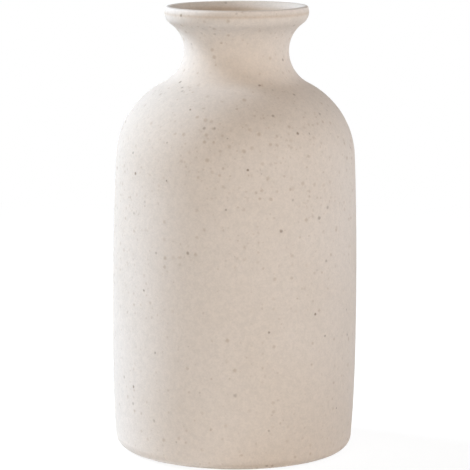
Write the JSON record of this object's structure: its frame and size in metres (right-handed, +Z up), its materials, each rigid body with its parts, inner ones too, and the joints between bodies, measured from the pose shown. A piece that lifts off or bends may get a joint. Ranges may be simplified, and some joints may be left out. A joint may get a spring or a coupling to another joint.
{
  "type": "bottle vase",
  "caption": "Free-standing bottle vase: tall upright stoneware body, round shoulder, waisted neck and flared rolled lip, matte speckled outside, glazed inside, felt feet.",
  "frame": {"origin": "centre of the foot, on the plane that the felt pads stand on", "axes": "+Z up along the turning axis, towards the mouth; -Y faces the viewer of the picture"},
  "size_m": [0.1384, 0.1384, 0.2517],
  "materials": {
    "bare_clay": "unglazed fired clay",
    "speckled_coat": "matte sandy off-white with brown iron specks",
    "liner_glaze": "satin glaze",
    "felt": "pressed felt"
  },
  "bodies": {
    "root": {"stoneware_body": "bare_clay", "speckled_coat": "speckled_coat", "liner_glaze": "liner_glaze", "felt_pad_1": "felt", "felt_pad_2": "felt", "felt_pad_3": "felt", "felt_pad_4": "felt"}
  },
  "joints": []
}
